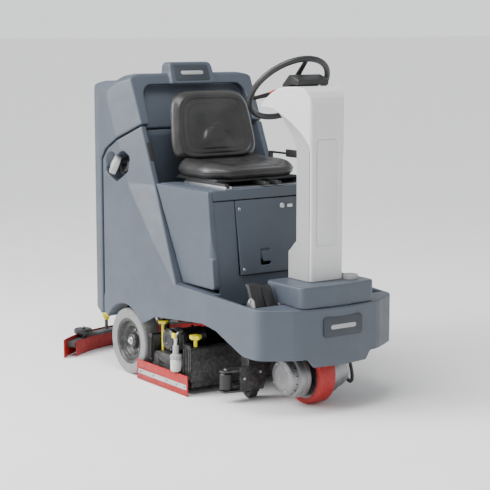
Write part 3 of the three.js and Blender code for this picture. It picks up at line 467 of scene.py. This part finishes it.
# filler cap with a gripping rim
fill_low, fill_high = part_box("fill_cap")
fill_at = ((fill_low[0] + fill_high[0]) / 2, (fill_low[1] + fill_high[1]) / 2, fill_low[2])
fill_rings = [(0, 13), (20, 13), (23, 16), (27, 18), (31, 16), (33, 12), (34, 4), (34, 0), (0, 0)]
ribs = []
for k in range(18):
    a = 2 * math.pi * k / 18
    at = Vector(fill_at) * 1000 + Vector((31 * math.cos(a), 31 * math.sin(a), 0))
    ribs.append(rounded_box(f"rib{k}", (at.x - 2, at.y - 2, at.z + 3), (at.x + 2, at.y + 2, at.z + 17), 1.2, 2))
place(joined("fill_cap_top", [lathe("fill_disc", fill_rings, fill_at, "z", 48), *ribs]), PALE, "filler_cap",
      ["fill_cap"])

# ---------- column details ----------
place(plate("column_inset", rounded_outline(50, 213, 14), 1.5, (0.7433, 0, 0.890), (1, 0, 0), UP, 0.6), WHITE,
      "machine")
SCREEN_NORMAL = (-0.44, 0, 0.90)
place(plate("screen", rounded_outline(52, 16, 4), 1.5, (0.566, 0, 1.3475), SCREEN_NORMAL, (0.9, 0, 0.44), 0.5),
      SCREEN, "machine")
buttons = [lathe(f"button{k}", [(0, 3), (5, 3), (6.5, 1.5), (6.5, -2), (0, -2)],
                 (0.545, (k - 2) * 0.024, 1.2745), (-0.49, 0, 0.87), 20) for k in range(5) if k != 2]
place(joined("dash_buttons", buttons), PALE, "machine")

# ---------- steering wheel ----------
STEERING = (0.482, 0, 1.300)  # the wheel's centre
tilt = Matrix.Translation(STEERING) @ Matrix.Rotation(math.radians(-44.5), 4, "Y")
HUB_AXIS = tuple((tilt.to_3x3() @ Vector((0, 0, 1))).normalized())
grip_ring = []
for k in range(21):
    a = 2 * math.pi * k / 20
    grip_ring.append((176 + 12.5 * math.cos(a), 12.5 * math.sin(a)))
wheel_parts = [lathe("grip", grip_ring, STEERING, HUB_AXIS, 128),
               lathe("hub", [(0, 1), (24, 0), (29, -4), (33, -12), (42, -30), (42, -34), (0, -34)], STEERING,
                     HUB_AXIS, 48)]
for angle in (110, 250, 360):
    spoke = rounded_box("spoke", (26, -16, -10), (168, 16, -1), 4)
    for v in spoke.data.vertices:  # narrower and thinner towards the rim
        share = min(1, max(0, (v.co.x - 0.03) / 0.13))
        v.co.y *= 1 - 0.35 * share
        v.co.z = v.co.z * (1 - 0.2 * share) + 0.004 * share
    spoke.data.transform(tilt @ Matrix.Rotation(math.radians(angle), 4, "Z"))
    wheel_parts.append(spoke)
wheel_parts.append(lathe("shaft", [(0, -128), (13.5, -128), (13.5, -30), (0, -30)], STEERING, HUB_AXIS, 32))
place(joined("steering_wheel_rim", wheel_parts), BLACK, "steering", ["steering_wheel"])
place(lathe("horn_pad", [(0, 6), (16, 5), (21, 2), (22, -2), (0, -2)], STEERING, HUB_AXIS, 40), CHARCOAL,
      "steering")

# ---------- wheels ----------
AXLE = (-0.235, 0, 0.150)
TYRE = [(104.2, 6), (112, 2.5), (116, 3.2), (126, 1), (139, 1.5), (146, 5), (149.2, 11), (150, 18), (150, 72),
        (149.2, 79), (146, 85), (139, 88.5), (126, 89), (116, 86.8), (112, 87.5), (104.2, 84), (104.2, 6)]
RIM = [(0, 17), (10, 17), (12, 19), (26, 19), (30, 21), (33, 25), (36, 41), (40, 44), (54, 44), (58, 41), (63, 30),
       (68, 26), (82, 25.5), (86, 21), (89, 11), (93, 7.5), (99, 6.5), (104, 7), (104, 83), (96, 84), (88, 64),
       (34, 66), (30, 86), (0, 86)]
for side, name in ((-1, "right"), (1, "left")):
    face = lambda rings: [(r, side * (365 - d)) for r, d in rings]
    wheel = f"rear_wheel_{name}"
    place(lathe(f"tyre_{name}", face(TYRE), AXLE, "y", 96), TYRE_GRAY, wheel, [f"rear_tyre_{name}"])
    place(lathe(f"rim_{name}", face(RIM), AXLE, "y", 96), PAINT, wheel, [f"rear_rim_{name}"])
    out = (0, side, 0)
    nut = [lathe("washer", [(0, 2.5), (15, 2.5), (17, 1), (17, -1), (0, -1)],
                 (AXLE[0], side * 0.348, AXLE[2]), out, 32),
           hexagon("nut", (AXLE[0], side * 0.3500, AXLE[2]), out, 11, 8)]
    place(joined(f"axle_nut_{name}", nut), STEEL, wheel)
    bolts = [hexagon(f"bolt{k}", (AXLE[0] + 0.047 * math.sin(k * 1.2566), side * 0.3205,
                                  AXLE[2] + 0.047 * math.cos(k * 1.2566)), out, 6, 5) for k in range(5)]
    place(joined(f"rim_bolts_{name}", bolts), CAST, wheel)

DRIVE = (0.640, 0, 0.125)
place(lathe("drive_tyre_ring", [(100, -41), (116, -41), (121.5, -38.5), (124.4, -33), (125, -26), (125, 26),
                                (124.4, 33), (121.5, 38.5), (116, 41), (100, 41), (100, -41)], DRIVE, "y", 96),
      TYRE_RED, "drive_wheel", ["drive_tyre"])
MOTOR = [(0, -148), (18, -148), (20, -150), (48, -150), (52, -147), (66, -146), (71, -143), (74, -137), (74, -114),
         (77, -111.5), (84, -110), (87, -106), (88, -100), (88, -84), (90.8, -83), (90.8, -73), (88, -72), (88, -61),
         (0, -60)]
place(lathe("drive_motor_drum", MOTOR, DRIVE, "y", 80), SATIN, "drive_unit", ["drive_motor"])
ring_bolts = [hexagon(f"mb{k}", (DRIVE[0] + 0.060 * math.cos(k * math.pi / 2 + 0.5), -0.1465,
                                 DRIVE[2] + 0.060 * math.sin(k * math.pi / 2 + 0.5)), (0, -1, 0), 5, 4)
              for k in range(4)]
# painted shade: black bars standing for the shade inside the drive motor's vent slots
vent_shade_bars = [rounded_box(f"vent{k}", (-2, -127, 73), (2, -117, 76.2), 0.8, 1) for k in range(14)]
for k, vent in enumerate(vent_shade_bars):
    vent.data.transform(Matrix.Translation(Vector(DRIVE)) @ Matrix.Rotation(k * math.pi / 7, 4, "Y"))
place(joined("motor_bolts", ring_bolts), STEEL, "drive_unit")
place(joined("motor_vent_shade", vent_shade_bars), BLACK, "drive_unit")
GEARBOX = [(0, 164), (20, 164), (24, 166), (50, 166), (56, 163), (62, 158), (70, 146), (77, 128), (80, 108), (82, 98),
           (90, 93), (93.5, 88), (94, 82), (94, 61), (0, 60)]
gear_parts = [lathe("gear_drum", GEARBOX, DRIVE, "y", 80),
              rounded_box("gear_block", (610, 98, 130), (670, 150, 209), 5)]
place(joined("gearbox_case", gear_parts), CAST, "drive_unit", ["drive_gearbox"])
gear_bolts = [hexagon(f"gb{k}", (DRIVE[0] + 0.042 * math.cos(k * math.pi / 3), 0.1655,
                                 DRIVE[2] + 0.042 * math.sin(k * math.pi / 3)), (0, 1, 0), 5, 4) for k in range(6)]
place(joined("gearbox_bolts", gear_bolts), STEEL, "drive_unit")
LEAD = [(640, 151.5, 204), (642, 170, 204), (646, 196, 182), (648, 214, 124), (649, 222, 74), (645, 216, 58),
        (640, 206, 62), (637, 192, 82), (636, 172, 100)]
place(tube("drive_cable", LEAD, 7.5, 16), BLACK, "drive_unit", ["drive_lead"])

# ---------- scrub deck ----------
BRUSH_MOTOR = (0.042, 0, 0.198)  # on the axis of both brush motors
for side, name in ((-1, "right"), (1, "left")):
    face = lambda rings: [(r, side * d) for r, d in rings]
    body = face([(0, 150), (43, 150), (45, 153), (45, 298), (49, 302), (51, 306), (51, 317), (48, 321), (42, 323),
                 (38, 327), (20, 328), (17, 324), (14, 322), (0, 322)])
    foot = rounded_box("foot", (12, min(side * 170, side * 300), 142.5), (72, max(side * 170, side * 300), 170), 3)
    place(joined(f"brush_motor_case_{name}", [lathe("case", body, BRUSH_MOTOR, "y", 64), foot]), BLACK, "scrub_deck",
          [f"brush_motor_{name}"])
    band = face([(46, 262), (51, 262), (52, 264), (52, 294), (51, 296), (46, 296), (46, 262)])
    place(lathe(f"motor_band_{name}", band, BRUSH_MOTOR, "y", 64), SATIN, "scrub_deck")
    heads = [screw(f"cap_screw{k}", (BRUSH_MOTOR[0] + 0.044 * math.cos(k * math.pi / 2 + 0.6), side * 0.3225,
                                     BRUSH_MOTOR[2] + 0.044 * math.sin(k * math.pi / 2 + 0.6)),
                   (0, side, 0), 3.5, 2.5, 16)
             for k in range(4)]
    place(joined(f"motor_screws_{name}", heads), STEEL, "scrub_deck")
    # steel strip that clamps the rubber skirt, with its bolts
    y0, y1 = sorted((side * 378, side * 381))
    strip = rounded_box("strip", (-116, y0, 30), (276, y1, 52), 1)
    place(joined(f"skirt_strip_{name}", [strip]), STEEL, f"skirt_{name}")
    bolts = [hexagon(f"sb{k}", (x * MM, side * 0.3808, 0.041), (0, side, 0), 4.5, 2.5)
             for k, x in enumerate((-96, 12, 120, 200, 262))]
    place(joined(f"skirt_bolts_{name}", bolts), CAST, f"skirt_{name}")
    y0, y1 = sorted((side * 341.5, side * 352))
    place(rounded_box(f"wear_pad_{name}", (206, y0, 208), (262, y1, 213), 2), PAINT, "scrub_deck")

BOWL = (0.186, -0.374, 0)  # the foot of the strainer's axis
bowl = [(0, 94), (14, 94), (20, 96), (23, 101), (24, 108), (24, 140), (22, 147), (20, 149), (0, 149)]
place(lathe("strainer_bowl", bowl, BOWL, "z", 48), MILKY, "scrub_deck", ["filter_bowl"])
collar = [(0, 148), (22, 148), (23.5, 150), (23.5, 166), (20, 169), (13, 171), (13, 206), (9, 210), (0, 210)]
grips = [rounded_box(f"g{k}", (22, -2, 151), (25, 2, 165), 0.8, 1) for k in range(12)]
for k, rib in enumerate(grips):
    rib.data.transform(Matrix.Translation(Vector(BOWL)) @ Matrix.Rotation(k * math.pi / 6, 4, "Z"))
place(joined("strainer_collar", [lathe("collar", collar, BOWL, "z", 48), *grips]), PALE, "scrub_deck")
pipe = [rounded_box("pipe_arm", (176, -374, 186), (196, -300, 206), 4),
        rounded_box("pipe_leg", (177, -312, 142), (195, -300, 204), 3)]
place(joined("strainer_bracket", pipe), PAINT, "scrub_deck")
valve = [lathe("valve_body", [(0, 206), (8, 206), (8, 232), (10, 234), (10, 240), (0, 240)], BOWL, "z", 24),
         tube("valve_elbow", [(186, -374, 236), (186, -374, 252), (184, -362, 262), (182, -340, 264)], 6, 12)]
place(joined("valve", valve), STEEL, "scrub_deck")
place(rounded_box("valve_lever", (176, -390, 240), (200, -378, 262), 3), YELLOW, "scrub_deck")
leads = [tube("l1", [(60, -290, 236), (66, -296, 246), (76, -288, 243), (86, -270, 214), (98, -262, 180)], 5, 10),
         tube("l2", [(182, -344, 262), (170, -320, 250), (140, -300, 236), (116, -286, 206), (110, -280, 176)], 6, 10),
         tube("l3", [(20, -180, 240), (4, -176, 246), (-6, -172, 232), (-14, -168, 190)], 5, 10)]
place(joined("deck_leads", leads), BLACK, "scrub_deck")

# ---------- squeegee ----------
ARC_CENTRE = (-0.182, 0)
POST = (-0.754, 0.309)  # the left bumper roller's post; the right one mirrors it
STUD = (-0.804, 0.152)  # the left blade knob's stud
SWIVEL = (-0.788, 0, 0)
OUTLET = (-0.788, -0.075, 0)


def arc_band(name, inner, outer, half, low, high):
    """A band along the squeegee's arc, between two radii and two heights in millimetres."""
    reach = math.asin(half / outer)
    steps, vertices, faces = 72, [], []
    for k in range(steps + 1):
        a = math.pi - reach + 2 * reach * k / steps
        for r, z in ((inner, low), (outer, low), (outer, high), (inner, high)):
            vertices.append((ARC_CENTRE[0] + r * MM * math.cos(a), r * MM * math.sin(a), z * MM))
    for k in range(steps):
        faces += [(4 * k + m, 4 * k + (m + 1) % 4, 4 * k + 4 + (m + 1) % 4, 4 * k + 4 + m) for m in range(4)]
    faces += [(0, 1, 2, 3), (4 * steps + 3, 4 * steps + 2, 4 * steps + 1, 4 * steps)]
    return mesh_object(name, vertices, faces)


place(arc_band("blade_rear", 668.2, 672.6, 458, 2, 88), RUBBER_RED, "squeegee", ["squeegee_blade_rear"])
place(arc_band("blade_front", 625, 629.6, 394, 3, 70), RUBBER_RED, "squeegee", ["squeegee_blade_front"])
strap = arc_band("strap", 672.8, 675.2, 440, 52, 66)
place(strap, STEEL, "squeegee")
frame_parts = [arc_band("bar", 631, 667.6, 424, 46, 72), arc_band("deck_plate", 608, 656, 248, 71, 84),
               lathe("pivot", [(0, 104), (24, 104), (26, 102), (26, 83), (0, 83)], SWIVEL, "z", 40),
               lathe("outlet", [(22, 90), (22, 128), (25, 128), (27, 125), (27, 83), (0, 83), (0, 90), (22, 90)],
                     OUTLET, "z", 40)]
for s in (-1, 1):
    frame_parts.append(lathe("post", [(0, 118), (9, 118), (9, 86), (12, 84), (12, 68), (0, 68)],
                             (POST[0], s * POST[1], 0), "z", 24))
    frame_parts.append(lathe("stud", [(0, 131), (8, 131), (8, 80), (0, 80)], (STUD[0], s * STUD[1], 0), "z", 20))
place(joined("squeegee_body", frame_parts), CHARCOAL, "squeegee", ["squeegee_frame"])
for s, name in ((-1, "right"), (1, "left")):
    tread = [(10, 90), (30, 90), (33, 93), (36, 93), (40, 90), (43, 92), (44, 96), (44, 106), (43, 110), (40, 112),
             (36, 109), (33, 109), (30, 112), (10, 112), (10, 90)]
    place(lathe(f"bumper_roller_{name}", tread, (POST[0], s * POST[1], 0), "z", 64), BLACK, f"bumper_roller_{name}",
          [f"squeegee_roller_{name}"])
    place(joined(f"roller_bolt_{name}", [hexagon("rb", (POST[0], s * POST[1], 0.1175), UP, 8, 6)]), STEEL,
          "squeegee")
place(joined("arm_pin", [lathe("pin", [(0, -92), (9, -92), (10, -90), (10, 90), (9, 92), (0, 92)],
                               (-0.430, 0, 0.190), "y", 24)]), STEEL, "machine")

# ---------- roller and caster ----------
ROLLER = (0.442, -0.290, 0)
place(lathe("side_roller_drum", [(7.5, 56), (24, 56), (27, 60), (27, 122), (24, 126), (7.5, 126), (7.5, 56)],
            ROLLER, "z", 48), BLACK, "side_roller", ["guide_roller"])
place(hexagon("side_roller_bolt", (ROLLER[0], ROLLER[1], 0.1385), UP, 9, 6), STEEL, "machine")
place(lathe("caster_wheel", [(6.7, -182), (26, -182), (29.5, -178), (30, -172), (30, -152), (29.5, -146), (26, -142),
                             (6.7, -142), (6.7, -182)], (0.440, 0, 0.032), "y", 48), BLACK, "caster",
      ["deck_caster"])
bracket_bolts = [hexagon("b0", (0.4805, -0.222, 0.100), (1, 0, 0), 7, 4),
                 hexagon("b1", (0.4805, -0.140, 0.120), (1, 0, 0), 7, 4)]
place(joined("bracket_bolts", bracket_bolts), STEEL, "machine")

# ---------- pedals ----------
PEDAL_PIVOT = (676, 428)
for name, y0, y1, top in (("accelerator", -316, -262, 532), ("brake", -256, -206, 520)):
    treads = []
    for k in range(5):
        share = (k + 0.6) / 5.2
        x = PEDAL_PIVOT[0] - 16 - share * 36
        z = PEDAL_PIVOT[1] + 12 + share * (top - PEDAL_PIVOT[1] - 18)
        treads.append(rounded_box(f"t{k}", (x - 6, y0 + 4, z - 3), (x + 1, y1 - 4, z + 3), 1.2, 2))
    place(joined(f"{name}_tread", treads), CHARCOAL, name)
pedal_bolts = [hexagon(f"pb{k}", (x, -0.3245, z), (0, -1, 0), 6, 4)
               for k, (x, z) in enumerate(((0.664, 0.466), (0.676, 0.428), (0.690, 0.445)))]
place(joined("pedal_bolts", pedal_bolts), STEEL, "machine")


# ---------- seat ----------
def rounded_pad(name, outline, front, back):
    """A closed pad: outline(angle) gives its edge, and front and back its two faces at (share of the way out, edge
    point, angle)."""
    rings, around = 44, 160
    vertices, faces = [], []
    for face_of in (front, back):
        vertices.append(face_of(0.0, outline(0.0), 0.0))
        for k in range(1, rings + 1):
            share = math.sin(math.pi / 2 * k / rings)
            for i in range(around):
                a = 2 * math.pi * i / around
                vertices.append(face_of(share, outline(a), a))
    half = 1 + rings * around
    for start in (0, half):
        ring = lambda k, i: start + 1 + (k - 1) * around + i % around
        faces += [(start, ring(1, i), ring(1, i + 1)) for i in range(around)]
        faces += [(ring(k, i), ring(k + 1, i), ring(k + 1, i + 1), ring(k, i + 1))
                  for k in range(1, rings) for i in range(around)]
    pad = mesh_object(name, vertices, faces)
    work = bmesh.new()
    work.from_mesh(pad.data)
    bmesh.ops.remove_doubles(work, verts=work.verts, dist=2e-5)
    bmesh.ops.recalc_face_normals(work, faces=work.faces)
    work.to_mesh(pad.data)
    work.free()
    soft = pad.modifiers.new("soft", "SUBSURF")
    soft.levels = soft.render_levels = 1
    return applied(pad)


def power(value, n):
    """value to the power n, with its sign kept."""
    return math.copysign(abs(value) ** n, value)


def bell(value, width):
    """A smooth bump, 1 at 0 and nearly gone at twice its width."""
    return math.exp(-(value / width) ** 2)


def ease(value, start, end):
    """A smooth step from 0 at start to 1 at end."""
    t = min(1.0, max(0.0, (value - start) / (end - start)))
    return t * t * (3 - 2 * t)


BACK_Z, BACK_HALF = 1117, 151
BACK_TILT = 0.23
back_lean = lambda z: -72 - BACK_TILT * (z - 1000) + 8


def back_edge(a):
    z = BACK_Z + BACK_HALF * power(math.sin(a), 0.44)
    width = 230 - 34 * (z - 966) / 300
    return width * power(math.cos(a), 0.36), z


def back_front(share, edge, a):
    y, z = edge[0] * share, BACK_Z + (edge[1] - BACK_Z) * share
    swell = (1 - share ** 7) ** (1 / 2.3)
    bolster = 15 * bell(share - 0.89, 0.085) * (0.5 + 0.5 * abs(math.cos(a)))
    dish = 15 * (1 - ease(share, 0.34, 0.86)) * (0.75 + 0.25 * math.sin(a))
    lumbar = 23 * bell(z - 1052, 54) * bell(y, 112)
    seams = 4.5 * bell(share - 0.80, 0.016) + 3.2 * bell(share - 0.67, 0.014)
    creases = sum(5.5 * bell((s * y - 60) * 0.85 + (z - 1088) * 0.45, 7) * bell(z - 1086, 20) for s in (-1, 1))
    wrinkles = 0.9 * math.sin(z * 0.10 + y * 0.03) * bell(z - 1004, 26) * (1 - share ** 4)
    depth = 24 * swell + (bolster - dish + lumbar - seams - creases + wrinkles) * (1 - share ** 12)
    return ((back_lean(z) + depth) * MM, y * MM, z * MM)


def back_rear(share, edge, a):
    y, z = edge[0] * share, BACK_Z + (edge[1] - BACK_Z) * share
    return ((back_lean(z) - 21 * (1 - share ** 9) ** (1 / 2.6)) * MM, y * MM, z * MM)


SEAT_X, SEAT_HALF, SEAT_WELT = 108, 176, 940


def seat_edge(a):
    x = SEAT_X + SEAT_HALF * power(math.sin(a), 0.44)
    width = 236 - 30 * ease(x, 170, 290) ** 1.3
    return x, width * power(math.cos(a), 0.42)


def seat_top(share, edge, a):
    x, y = SEAT_X + (edge[0] - SEAT_X) * share, edge[1] * share
    swell = (1 - share ** 7) ** (1 / 2.3)
    bolster = 17 * ease(abs(y), 110, 200) * (1 - 0.5 * ease(x, 120, 280)) + 12 * ease(x, 50, -40)
    drop = 10 * ease(x, 180, 285)
    dish = 7 * bell(y, 120) * bell(x - 90, 90)
    seams = 4.2 * bell(share - 0.80, 0.016)
    folds = (4.5 * bell(x - 12 - 0.0011 * y * y, 7) * bell(y, 170)
             + 4.2 * bell(x - 62 - 0.0014 * y * y, 8) * bell(y, 150))
    nose = 3.6 * bell(abs(y) - 92 - 0.25 * (x - 180), 7) * ease(x, 130, 190) * (1 - ease(x, 250, 285))
    lift = 27 * swell + (bolster - drop - dish - seams - folds - nose) * (1 - share ** 12)
    return (x * MM, y * MM, (SEAT_WELT + lift) * MM)


def seat_under(share, edge, a):
    x, y = SEAT_X + (edge[0] - SEAT_X) * share, edge[1] * share
    return (x * MM, y * MM, (SEAT_WELT - 34 * (1 - share ** 10) ** (1 / 2.8)) * MM)


def piping(name, point_of, radius):
    """The welt round a pad's edge."""
    count = 96
    points = [point_of(2 * math.pi * i / count) for i in range(count)]
    return tube(name, points, radius, 8, 3, cyclic=True)


back_pad = place(rounded_pad("backrest", back_edge, back_front, back_rear), VINYL, "seat",
                 ["seat_back"], crease=None)
seat_pad = place(rounded_pad("seat_cushion_pad", seat_edge, seat_top, seat_under), VINYL, "seat",
                 ["seat_cushion"], crease=None)
place(piping("backrest_welt", lambda a: (back_lean(back_edge(a)[1]), *back_edge(a)), 2.6), VINYL, "seat")
place(piping("cushion_welt", lambda a: (*seat_edge(a), SEAT_WELT), 2.6), VINYL, "seat")
tray = rounded_box("seat_tray", (-44, -212, 899), (262, 212, 912), 5)
spine = [rounded_box("spine", (-118, s * 120 - 20, 902), (-98, s * 120 + 20, 1090), 5) for s in (-1, 1)]
for part in spine:
    for v in part.data.vertices:
        v.co.x += -BACK_TILT * (v.co.z - 0.98) + 0.012
place(joined("seat_frame", [tray, *spine]), PAINT, "seat")
lever = [rounded_box("lever_plate", (142, 238, 980), (224, 242, 1014), 2),
         rounded_box("lever_arm", (30, 238, 990), (146, 242, 1000), 1.5),
         rounded_box("lever_root", (30, 224, 930), (44, 242, 1000), 1.5)]
place(joined("seat_lever", lever), PAINT, "seat")

# ---------- stage ----------
floor_mesh = bpy.data.meshes.new("floor")
floor_mesh.from_pydata([(-200, -200, 0), (200, -200, 0), (200, 200, 0), (-200, 200, 0)], [], [(0, 1, 2, 3)])
floor = bpy.data.objects.new("floor", floor_mesh)
bpy.context.scene.collection.objects.link(floor)
floor.data.materials.append(finish("floor_paint", (0.93, 0.93, 0.93), 0.80, grain=(40.0, 0.02), cloud=0.01))


def softbox(name, at, target, size, power_watts):
    """An area light that faces a target."""
    light = bpy.data.lights.new(name, "AREA")
    light.shape, light.size, light.size_y = "RECTANGLE", size[0], size[1]
    light.energy = power_watts
    lamp = bpy.data.objects.new(name, light)
    bpy.context.scene.collection.objects.link(lamp)
    lamp.location = at
    lamp.rotation_mode = "QUATERNION"
    lamp.rotation_quaternion = (Vector(target) - Vector(at)).to_track_quat("-Z", "Y")


softbox("key", (-1.4, -4.2, 3.2), (-0.2, 0, 0.7), (2.4, 2.4), 240)
softbox("crown", (1.2, -1.0, 4.4), (0, 0, 0.8), (1.8, 1.8), 110)
sun = bpy.data.objects.new("sky_key", bpy.data.lights.new("sky_key", "SUN"))
sun.data.energy, sun.data.angle = 2.6, math.radians(50)
bpy.context.scene.collection.objects.link(sun)
sun.rotation_mode = "QUATERNION"
sun.rotation_quaternion = Vector((0.30, 0.75, -0.75)).to_track_quat("-Z", "Y")

# the studio round it: brightest at the horizon, dimmer overhead
world = bpy.data.worlds.new("studio")
bpy.context.scene.world = world
world.use_nodes = True
sky = world.node_tree
ray = sky.nodes.new("ShaderNodeTexCoord").outputs["Generated"]
height = sky.nodes.new("ShaderNodeSeparateXYZ")
sky.links.new(ray, height.inputs[0])
rise = sky.nodes.new("ShaderNodeMapRange")
rise.interpolation_type = "SMOOTHSTEP"
sky.links.new(height.outputs["Z"], rise.inputs["Value"])
for socket, value in (("From Min", 0.05), ("From Max", 0.45), ("To Min", 1.27), ("To Max", 0.62)):
    rise.inputs[socket].default_value = value
sky.nodes["Background"].inputs["Color"].default_value = (0.97, 0.985, 1.0, 1)
sky.links.new(rise.outputs["Result"], sky.nodes["Background"].inputs["Strength"])

camera = bpy.data.objects.new("camera", bpy.data.cameras.new("camera"))
bpy.context.scene.collection.objects.link(camera)
camera.data.sensor_width, camera.data.lens = 36, 106.5
camera.location = (5.314, -3.604, 1.545)
camera.rotation_mode = "QUATERNION"
heading, dip = math.radians(55), math.radians(8.5)
look = Vector((-math.sin(heading) * math.cos(dip), math.cos(heading) * math.cos(dip), -math.sin(dip)))
camera.rotation_quaternion = look.to_track_quat("-Z", "Y")
camera.data.dof.use_dof = False
bpy.context.scene.camera = camera
